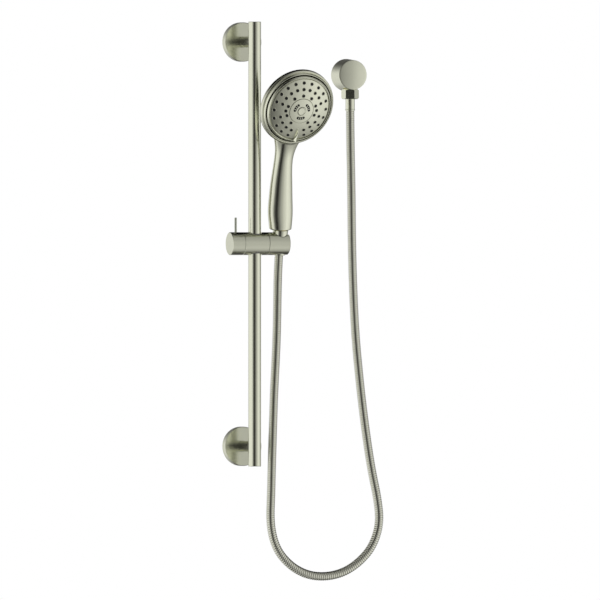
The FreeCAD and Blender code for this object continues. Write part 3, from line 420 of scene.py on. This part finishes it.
def surface_of(field, low, high, step):
    """Quads over the surface where a field is zero: a point for each cell of a lattice that it
    crosses, evened out and put onto the surface."""
    counts = np.ceil((np.array(high) - low) / step).astype(int) + 1
    lattice = [low[axis] + step * np.arange(counts[axis]) for axis in range(3)]
    solid = field(*np.meshgrid(*lattice, indexing="ij")) < 0
    corners = sum(
        solid[i:counts[0] - 1 + i, j:counts[1] - 1 + j, k:counts[2] - 1 + k].astype(int)
        for i in (0, 1) for j in (0, 1) for k in (0, 1)
    )
    cells = np.argwhere((corners > 0) & (corners < 8))
    number = np.full(counts - 1, -1)
    number[tuple(cells.T)] = np.arange(len(cells))
    quads = []
    for axis in range(3):
        change = np.diff(solid.astype(int), axis=axis)
        one, two = np.eye(3, dtype=int)[[(axis + 1) % 3, (axis + 2) % 3]]
        for sign, order in ((-1, (0, 1, 2, 3)), (1, (3, 2, 1, 0))):
            at = np.argwhere(change == sign)
            ring = [at, at - one, at - one - two, at - two]
            quads.append(np.stack([number[tuple(ring[corner].T)] for corner in order], axis=-1))
    quads = np.concatenate(quads)
    points = onto_surface(field, low + (cells + 0.5) * step, 4)
    shared = np.bincount(quads.ravel(), minlength=len(points))[:, None]
    for _ in range(6):
        middles = points[quads].mean(axis=1)
        pulled = np.zeros_like(points)
        for corner in range(4):
            np.add.at(pulled, quads[:, corner], middles)
        points = onto_surface(field, pulled / shared, 2)
    return points, quads.tolist()


def place_points(points, place):
    """Millimetres in a frame of its own, as metres in the object's frame."""
    turn = np.array(place.to_3x3())
    return points * MM @ turn.T + np.array(place.translation)


def handset_body():
    points, quads = surface_of(casting, np.array((-66.0, -77.0, 19.0)), (66.0, 36.0, 297.0), 1.15)
    piece = add_mesh("handset_body", place_points(points, HANDSET), quads, 180)
    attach(piece, "handset")
    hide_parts("handset_shell")
    return piece


def head_rim():
    """The front of the casting, turned about the spray's axis: a bevel back from the mouth, a fine
    groove, and a rounded shoulder that runs into the casting."""
    rim = turned("head_rim", [
        (MOUTH_RADIUS, -15), (MOUTH_RADIUS, -3.8, 0.3), (MOUTH_RADIUS + 0.6, -3.1, 0.5),
        (59.0, -6.0, 0.4), (59.0, -7.0), (60.0, -6.6, 0.4), (RIM_RADIUS - 0.2, -8.4, 1.4),
        (RIM_RADIUS, -13.5), (RIM_RADIUS - 0.4, -14.2), (RIM_RADIUS - 1.6, -15),
    ], FACE, sides=192, sharp_degrees=50)
    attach(rim, "handset")
    return rim


handset = [handset_body(), head_rim()]

# ---------------------------------------------------------------------------------------------------
# Wall outlet
# ---------------------------------------------------------------------------------------------------

DRUM_BACK = 25.5
DRUM_FRONT = 23.3
DRUM_DEPTH = 33
DRUM_DOME = 2.0
DRUM_WALL = 2.1


def outlet_drum():
    """The wall outlet's drum: it narrows from the wall to a domed face with a rolled edge."""
    centre = middle("outlet_body")
    steps = 8
    dome = [
        (DRUM_FRONT * step / steps, DRUM_DEPTH - DRUM_DOME * (step / steps)**2)
        for step in reversed(range(steps))
    ]
    drum = turned("outlet_drum", [
        (DRUM_BACK - DRUM_WALL - 0.2, 0), (DRUM_BACK, 0, 0.4), (DRUM_BACK - 0.1, 1.5),
        (DRUM_FRONT + 0.1, 29.8), (DRUM_FRONT, DRUM_DEPTH - DRUM_DOME, 0.8), *dome,
        (0, DRUM_DEPTH - 2), (DRUM_FRONT - DRUM_WALL, 28), (DRUM_FRONT - 0.3, 1),
    ], axes((centre.x, 0, centre.z), OFF_WALL), sides=160)
    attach(drum, "wall_set")
    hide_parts("outlet_body")
    return drum


drum = outlet_drum()

# ---------------------------------------------------------------------------------------------------
# Spray face: ring and selector, domed plate, nozzles, centre disc and button
# ---------------------------------------------------------------------------------------------------

# Radii and heights in millimetres, from the centre of the face plane. Turns are in degrees from the top.
PLATE_RADIUS = 51.7
PLATE_EDGE = 0.5
PLATE_THICK = 1.6
CROWN_RADIUS = 49.0
PLATE_CROWN = 8.9
RING_OUTER = 55.1
SKIRT_OUTER = 52.2
SKIRT_INNER = 50
SKIRT_END = -13
DISC_RADIUS = 20.0
DISC_GAP = 0.45
NOZZLE_STEP = 18
OUTER_RING = 45.0
MIDDLE_RING = 35.1
INNER_RING = 25.0
SIDE_NOZZLES = 26.8
NOZZLE_RADIUS = 2.4
NOZZLE_PROUD = 0.9
SLOT_RING = 12.2
SLOT_TURNS = (60, 180, 300)
SLOT_HALF_ANGLE = 33
SLOT_HALF_WIDTH = 2.3
BAR_STEP = 16
BAR_STRETCH = 3.6
FIN_START = 30.0
FIN_END = 54.2
FIN_RISE = 5.2
BUTTON_RADIUS = 6.8
BUTTON_PROUD = 0.9


def crown(radius):
    """The plate's height above the face plane."""
    return PLATE_CROWN * (1 - (radius / CROWN_RADIUS)**2)


def crowned(start, end, drop=0.0, steps=16):
    """Corners of an outline along the plate's crown."""
    radii = [start + (end - start) * step / steps for step in range(steps + 1)]
    return [(radius, crown(radius) - drop) for radius in radii]


def on_face(radius, degrees_from_top, out=0.0):
    """A place on the spray face, in metres in the object's frame."""
    turn = math.radians(degrees_from_top)
    return FACE @ (Vector((radius * math.sin(turn), radius * math.cos(turn), out)) * MM)


def square_to_crown(radius, degrees_from_top):
    """A frame that stands on the plate's crown at a place."""
    turn = math.radians(degrees_from_top)
    lean = 2 * PLATE_CROWN * radius / CROWN_RADIUS**2
    away = Vector((math.sin(turn) * lean, math.cos(turn) * lean, 1))
    return axes(on_face(radius, degrees_from_top, crown(radius)), FACE.to_3x3() @ away, HANDSET_RIGHT)


def nozzle_places():
    """Every nozzle as (ring radius, degrees from the top). The rings leave out the selector's place."""
    places = [(SIDE_NOZZLES, 90), (SIDE_NOZZLES, 270)]
    for turn in range(0, 360, NOZZLE_STEP):
        if turn != 180:
            places.append((OUTER_RING, turn))
            if turn not in (90, 270):
                places.append((MIDDLE_RING, turn))
            if turn % (2 * NOZZLE_STEP) == 0:
                places.append((INNER_RING, turn))
    return places


def as_one(name, pieces):
    """Pieces of one moulding or plating, as one object."""
    mesh = bmesh.new()
    for piece in pieces:
        mesh.from_mesh(piece.data)
        bpy.data.objects.remove(piece)
    whole = bpy.data.meshes.new(name)
    mesh.to_mesh(whole)
    mesh.free()
    whole.shade_smooth()
    whole.set_sharp_from_angle(angle=math.radians(40))
    result = bpy.data.objects.new(name, whole)
    bpy.context.scene.collection.objects.link(result)
    return result


def spray_plate():
    """The crowned plate, with its edges rolled down and a raised collar round each nozzle."""
    inner, outer = DISC_RADIUS + DISC_GAP, PLATE_RADIUS - 0.6
    plate = turned("plate_skin", [
        *crowned(inner + PLATE_EDGE, outer - PLATE_EDGE), (outer, crown(outer) - PLATE_EDGE), (outer, -2.4),
        *crowned(PLATE_RADIUS - 2, inner, PLATE_THICK), (inner, crown(DISC_RADIUS) - PLATE_EDGE),
    ], FACE, sides=192)
    collars = [
        turned("collar", [
            (NOZZLE_RADIUS - 0.1, -0.6), (NOZZLE_RADIUS + 0.9, -0.3), (NOZZLE_RADIUS + 0.8, 0.12, 0.2),
            (NOZZLE_RADIUS + 0.35, 0.32, 0.2), (NOZZLE_RADIUS - 0.1, 0.1),
        ], square_to_crown(*place), sides=28)
        for place in nozzle_places()
    ]
    return as_one("spray_plate", [plate, *collars])


def spray_nozzles():
    """Soft nozzles, tapered to a rounded tip with its hole."""
    tip = NOZZLE_RADIUS - 0.35
    nozzles = [
        turned("nozzle", [
            (0, -2.4), (NOZZLE_RADIUS, -2.4), (NOZZLE_RADIUS, 0), (tip, NOZZLE_PROUD, 0.35),
            (0.5, NOZZLE_PROUD, 0.1), (0.42, NOZZLE_PROUD - 0.7), (0, NOZZLE_PROUD - 0.8),
        ], square_to_crown(*place), sides=24)
        for place in nozzle_places()
    ]
    return as_one("spray_nozzles", nozzles)


def swept(name, rows, sharp_degrees=35):
    """A closed skin over rows of points, each a loop, with flat ends."""
    points = [point for row in rows for point in row]
    loop = len(rows[0])
    faces = grid_faces(len(rows), loop)
    faces.append(tuple(reversed(range(loop))))
    faces.append(tuple(range(len(points) - loop, len(points))))
    piece = add_mesh(name, points, faces, sharp_degrees)
    merge_close(piece)
    return piece


def curved_bar(name, ring, degrees_from_top, half_angle, half_width, low, high):
    """A bar bent round the face's centre with half-round ends, `low` to `high` above the crown."""
    steps, sides = 24, 6
    half_length = math.radians(half_angle) * ring
    rows = []
    for step in range(steps + 1):
        along = math.sin(math.pi * (step / steps - 0.5)) * half_length
        past = max(abs(along) - half_length + half_width, 0) / half_width
        width = half_width * math.sqrt(max(1 - past**2, 0.0004))
        turn = degrees_from_top + math.degrees(along / ring)
        radii = [ring + width * (2 * side / (sides - 1) - 1) for side in range(sides)]
        top = [on_face(radius, turn, crown(radius) + high) for radius in radii]
        bottom = [on_face(radius, turn, crown(radius) + low) for radius in reversed(radii)]
        rows.append(top + bottom)
    return swept(name, rows)


def slot_jets():
    """The soft jets in the centre disc's three slots."""
    return as_one("slot_jets", [
        curved_bar("jets", SLOT_RING, turn, SLOT_HALF_ANGLE, SLOT_HALF_WIDTH, -2.5, 0.12)
        for turn in SLOT_TURNS
    ])


def slot_bars():
    """The narrow bars that cross each slot and part its jets."""
    bars = []
    for slot_turn in SLOT_TURNS:
        for turn in (slot_turn - BAR_STEP, slot_turn, slot_turn + BAR_STEP):
            bar = curved_bar("bar", SLOT_RING, turn, 2.2, 0.4, -1.2, 0.3)
            centre = on_face(SLOT_RING, turn)
            across = (centre - on_face(0, turn)).normalized()
            for vertex in bar.data.vertices:
                vertex.co += across * (vertex.co - centre).dot(across) * BAR_STRETCH
            bars.append(bar)
    return as_one("slot_bars", bars)


def spray_ring():
    """The turning ring: a lip round the plate that slopes back to the casting, and a skirt inside."""
    return turned("spray_ring", [
        (PLATE_RADIUS + 0.1, -3), (PLATE_RADIUS + 0.1, -0.3, 0.3), (PLATE_RADIUS + 0.8, 0.2, 0.5),
        (RING_OUTER - 0.4, -2.4, 1.0), (RING_OUTER, -5), (SKIRT_OUTER, -6), (SKIRT_OUTER, SKIRT_END),
        (SKIRT_INNER, SKIRT_END), (SKIRT_INNER, -3),
    ], FACE, sides=192)


def ring_surface(radius):
    """The height of the plate, and past its edge that of the sloping ring."""
    return crown(radius) if radius < PLATE_RADIUS else -0.9 * (radius - PLATE_RADIUS) - 0.6


def selector_fin():
    """The raised grip that turns the ring: a ridge that widens and rises towards the rim."""
    steps = 30
    rows = []
    for step in range(steps + 1):
        along = step / steps
        radius = FIN_START + (FIN_END - FIN_START) * along
        tip = min(1, (1 - along) / 0.05)
        climb = math.sin(math.pi / 2 * min(1, along / 0.5))
        rise = (0.4 + FIN_RISE * climb) * math.sqrt(1 - (1 - tip)**2)
        width = (1.1 + 1.9 * along**0.8) * (0.5 + 0.5 * math.sqrt(tip))
        surface = ring_surface(radius)
        base, crest = surface - 1.2, max(surface, 0.0) + rise
        section = [
            (across * width, crest - (crest - base) * (math.hypot(across, 0.12) - 0.12))
            for across in (-1, -0.7, -0.4, -0.2, -0.1, 0, 0.1, 0.2, 0.4, 0.7, 1)
        ]
        section += [(across * width * 1.1, base) for across in (1, 0, -1)]
        rows.append([FACE @ (Vector((right, -radius, height)) * MM) for right, height in section])
    return swept("selector_fin", rows, 45)


def face_button():
    """A button with a raised edge, in a narrow gap."""
    top, base = PLATE_CROWN + BUTTON_PROUD, 5.2
    return turned("face_button", [
        (0, base), (BUTTON_RADIUS, base), (BUTTON_RADIUS, top - 0.1, 0.5), (BUTTON_RADIUS - 1.2, top, 0.4),
        (BUTTON_RADIUS - 1.6, top - 0.5, 0.3), (0, top - 0.35),
    ], FACE, sides=96)


SPRAY_FACE = [
    (spray_plate(), "satin_face", ["face_plate"]),
    (spray_nozzles(), "nozzle_rubber", ["nozzle_mat"]),
    (slot_jets(), "nozzle_rubber", []),
    (slot_bars(), "satin_face", []),
    (spray_ring(), "plated_ring", ["face_ring"]),
    (selector_fin(), "plated_ring", []),
    (face_button(), "plated_ring", ["centre_button"]),
]
for piece, slot, nodes in SPRAY_FACE:
    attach(piece, "spray_face")
    if nodes:
        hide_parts(*nodes)

# ---------------------------------------------------------------------------------------------------
# Materials
# ---------------------------------------------------------------------------------------------------


def nodes_of(name):
    material = bpy.data.materials.new(name)
    material.use_nodes = True
    tree = material.node_tree
    shader = tree.nodes["Principled BSDF"]
    return material, tree, shader


def satin_metal(name, colour, roughness, grain, depth=0.012, worn=0.06):
    """Metal with a fine grain drawn out along one axis, soft clouds in its gloss, and faint wear."""
    material, tree, shader = nodes_of(name)
    place = tree.nodes.new("ShaderNodeTexCoord")
    stretch = tree.nodes.new("ShaderNodeMapping")
    stretch.inputs["Scale"].default_value = grain
    fine = tree.nodes.new("ShaderNodeTexNoise")
    fine.inputs["Scale"].default_value = 1
    fine.inputs["Detail"].default_value = 3
    clouds = tree.nodes.new("ShaderNodeTexNoise")
    clouds.inputs["Scale"].default_value = 45
    clouds.inputs["Detail"].default_value = 4
    gloss = tree.nodes.new("ShaderNodeMapRange")
    gloss.inputs["To Min"].default_value = roughness - 0.05
    gloss.inputs["To Max"].default_value = roughness + 0.05
    tint = tree.nodes.new("ShaderNodeMix")
    tint.data_type = "RGBA"
    tint.inputs["A"].default_value = (*[channel * (1 - worn) for channel in colour], 1)
    tint.inputs["B"].default_value = (*colour, 1)
    bump = tree.nodes.new("ShaderNodeBump")
    bump.inputs["Distance"].default_value = 0.0001
    bump.inputs["Strength"].default_value = depth
    link = tree.links.new
    link(place.outputs["Object"], stretch.inputs["Vector"])
    link(stretch.outputs["Vector"], fine.inputs["Vector"])
    link(place.outputs["Object"], clouds.inputs["Vector"])
    link(fine.outputs["Fac"], bump.inputs["Height"])
    link(clouds.outputs["Fac"], gloss.inputs["Value"])
    link(clouds.outputs["Fac"], tint.inputs["Factor"])
    link(gloss.outputs["Result"], shader.inputs["Roughness"])
    link(tint.outputs["Result"], shader.inputs["Base Color"])
    link(bump.outputs["Normal"], shader.inputs["Normal"])
    shader.inputs["Metallic"].default_value = 1
    return material


def moulded(name, colour, roughness):
    """Rubber or plastic with a fine eggshell surface."""
    material, tree, shader = nodes_of(name)
    place = tree.nodes.new("ShaderNodeTexCoord")
    fine = tree.nodes.new("ShaderNodeTexNoise")
    fine.inputs["Scale"].default_value = 2500
    tint = tree.nodes.new("ShaderNodeMix")
    tint.data_type = "RGBA"
    tint.inputs["A"].default_value = (*[channel * 0.8 for channel in colour], 1)
    tint.inputs["B"].default_value = (*colour, 1)
    bump = tree.nodes.new("ShaderNodeBump")
    bump.inputs["Distance"].default_value = 0.0001
    bump.inputs["Strength"].default_value = 0.3
    link = tree.links.new
    link(place.outputs["Object"], fine.inputs["Vector"])
    link(fine.outputs["Fac"], bump.inputs["Height"])
    link(fine.outputs["Fac"], tint.inputs["Factor"])
    link(tint.outputs["Result"], shader.inputs["Base Color"])
    link(bump.outputs["Normal"], shader.inputs["Normal"])
    shader.inputs["Roughness"].default_value = roughness
    return material


NICKEL = (0.755, 0.765, 0.63)
ALONG_Z, EVEN = (4000, 4000, 80), (3000, 3000, 3000)
MATERIALS = {
    "brushed_nickel": satin_metal("brushed_nickel", NICKEL, 0.2, EVEN),
    "satin_cap": satin_metal("satin_cap", NICKEL, 0.24, EVEN),
    "nickel_pin": satin_metal("nickel_pin", (0.5, 0.52, 0.44), 0.3, ALONG_Z),
    "nickel_fitting": satin_metal("nickel_fitting", NICKEL, 0.2, EVEN),
    "hose_armour": satin_metal("hose_armour", (0.74, 0.74, 0.65), 0.22, EVEN),
    "brass": satin_metal("brass", (0.78, 0.58, 0.28), 0.3, EVEN),
    "steel": satin_metal("steel", (0.58, 0.57, 0.55), 0.3, EVEN),
    "black_rubber": moulded("black_rubber", (0.03, 0.03, 0.03), 0.6),
    "nozzle_rubber": moulded("nozzle_rubber", (0.008, 0.008, 0.008), 0.65),
    "grey_plastic": moulded("grey_plastic", (0.25, 0.25, 0.24), 0.45),
    "plated_shell": satin_metal("plated_shell", NICKEL, 0.17, EVEN),
    "satin_face": satin_metal("satin_face", NICKEL, 0.3, EVEN),
    "plated_ring": satin_metal("plated_ring", NICKEL, 0.14, EVEN),
}


def finish_with(piece, slot):
    piece.data.materials.clear()
    piece.data.materials.append(MATERIALS[slot])


for part in frame["record"]["subparts"]:
    finish_with(frame["nodes"][part["node"]], part["material_slot"])
for piece, _ in hose.values():
    finish_with(piece, "hose_armour")
for piece in handset:
    finish_with(piece, "plated_shell")
for piece, slot, _ in SPRAY_FACE:
    finish_with(piece, slot)
finish_with(drum, "brushed_nickel")

# ---------------------------------------------------------------------------------------------------
# Studio
# ---------------------------------------------------------------------------------------------------

# How bright the studio is towards each side, in degrees to the right of the camera, at eye level.
STUDIO = [
    (-180, 0.2), (-160, 0.5), (-139, 0.8), (-108, 1.0), (-58, 1.0), (-42, 0.82), (-26, 0.2), (-8, 0.02),
    (3, 0.03), (15, 0.2), (34, 0.48), (53, 0.76), (75, 1.0), (90, 0.94), (134, 0.42), (156, 0.2),
    (180, 0.2),
]


def add_studio():
    """White to the camera, and a soft studio to everything else: bright at the sides, open in front,
    dark behind the camera and dark above and below the wall."""
    world = bpy.data.worlds.new("studio")
    world.use_nodes = True
    bpy.context.scene.world = world
    tree = world.node_tree
    tree.nodes.clear()
    link = tree.links.new

    def math_node(operation, first, second=None):
        node = tree.nodes.new("ShaderNodeMath")
        node.operation = operation
        for socket, value in zip(node.inputs, (first, second)):
            if isinstance(value, (int, float)):
                socket.default_value = value
            elif value is not None:
                link(value, socket)
        return node.outputs[0]

    def component(direction):
        node = tree.nodes.new("ShaderNodeVectorMath")
        node.operation = "DOT_PRODUCT"
        link(place.outputs["Generated"], node.inputs[0])
        node.inputs[1].default_value = direction
        return node.outputs["Value"]

    def ranged(value, low, high, to_low=0.0, to_high=1.0, kind="SMOOTHSTEP"):
        node = tree.nodes.new("ShaderNodeMapRange")
        node.interpolation_type = kind
        link(value, node.inputs["Value"])
        for socket, amount in (("From Min", low), ("From Max", high), ("To Min", to_low),
                               ("To Max", to_high)):
            node.inputs[socket].default_value = amount
        return node.outputs["Result"]

    place = tree.nodes.new("ShaderNodeTexCoord")
    turn = math_node("ARCTAN2", component(VIEW_RIGHT), component(TO_CAMERA))
    ramp = tree.nodes.new("ShaderNodeValToRGB")
    ramp.color_ramp.interpolation = "EASE"
    link(ranged(turn, -math.pi, math.pi, kind="LINEAR"), ramp.inputs["Fac"])
    stops = ramp.color_ramp.elements
    while len(stops) < len(STUDIO):
        stops.new(0.5)
    for stop, (degrees, bright) in zip(stops, STUDIO):
        stop.position = degrees / 360 + 0.5
        stop.color = (bright, bright, bright, 1)
    height = component((0, 0, 1))
    steep = math_node("ADD", ranged(height, 0.05, 0.6), ranged(height, -0.5, -1.0))
    open_front = ranged(component(OFF_WALL), -0.4, 1.15, kind="LINEAR")
    shut = math_node("SUBTRACT", 1.0, open_front)
    shade = math_node("SUBTRACT", 1.0, math_node("MULTIPLY", steep, shut))
    brightness = math_node("MULTIPLY", ramp.outputs["Color"], shade)
    studio = tree.nodes.new("ShaderNodeBackground")
    link(brightness, studio.inputs["Strength"])
    studio.inputs["Color"].default_value = (1, 1, 0.98, 1)
    white = tree.nodes.new("ShaderNodeBackground")
    seen = tree.nodes.new("ShaderNodeLightPath")
    mix = tree.nodes.new("ShaderNodeMixShader")
    white.inputs["Color"].default_value = (1, 1, 1, 1)
    white.inputs["Strength"].default_value = 1
    output = tree.nodes.new("ShaderNodeOutputWorld")
    link(seen.outputs["Is Camera Ray"], mix.inputs["Fac"])
    link(studio.outputs["Background"], mix.inputs[1])
    link(white.outputs["Background"], mix.inputs[2])
    link(mix.outputs["Shader"], output.inputs["Surface"])
    bpy.context.scene.view_settings.view_transform = "Standard"


def add_floor():
    """A plain pale floor, well below the set as it hangs on its wall."""
    half, drop = 1.5, -1.0
    corners = [(-half, -half, drop), (half, -half, drop), (half, half, drop), (-half, half, drop)]
    floor = add_mesh("floor", corners, [(0, 1, 2, 3)])
    material, _, shader = nodes_of("pale_floor")
    shader.inputs["Base Color"].default_value = (0.85, 0.85, 0.84, 1)
    shader.inputs["Roughness"].default_value = 0.9
    shader.inputs["Emission Color"].default_value = (1, 1, 0.99, 1)
    shader.inputs["Emission Strength"].default_value = 0.72
    floor.data.materials.append(material)
    floor.visible_glossy = False


add_studio()
add_floor()
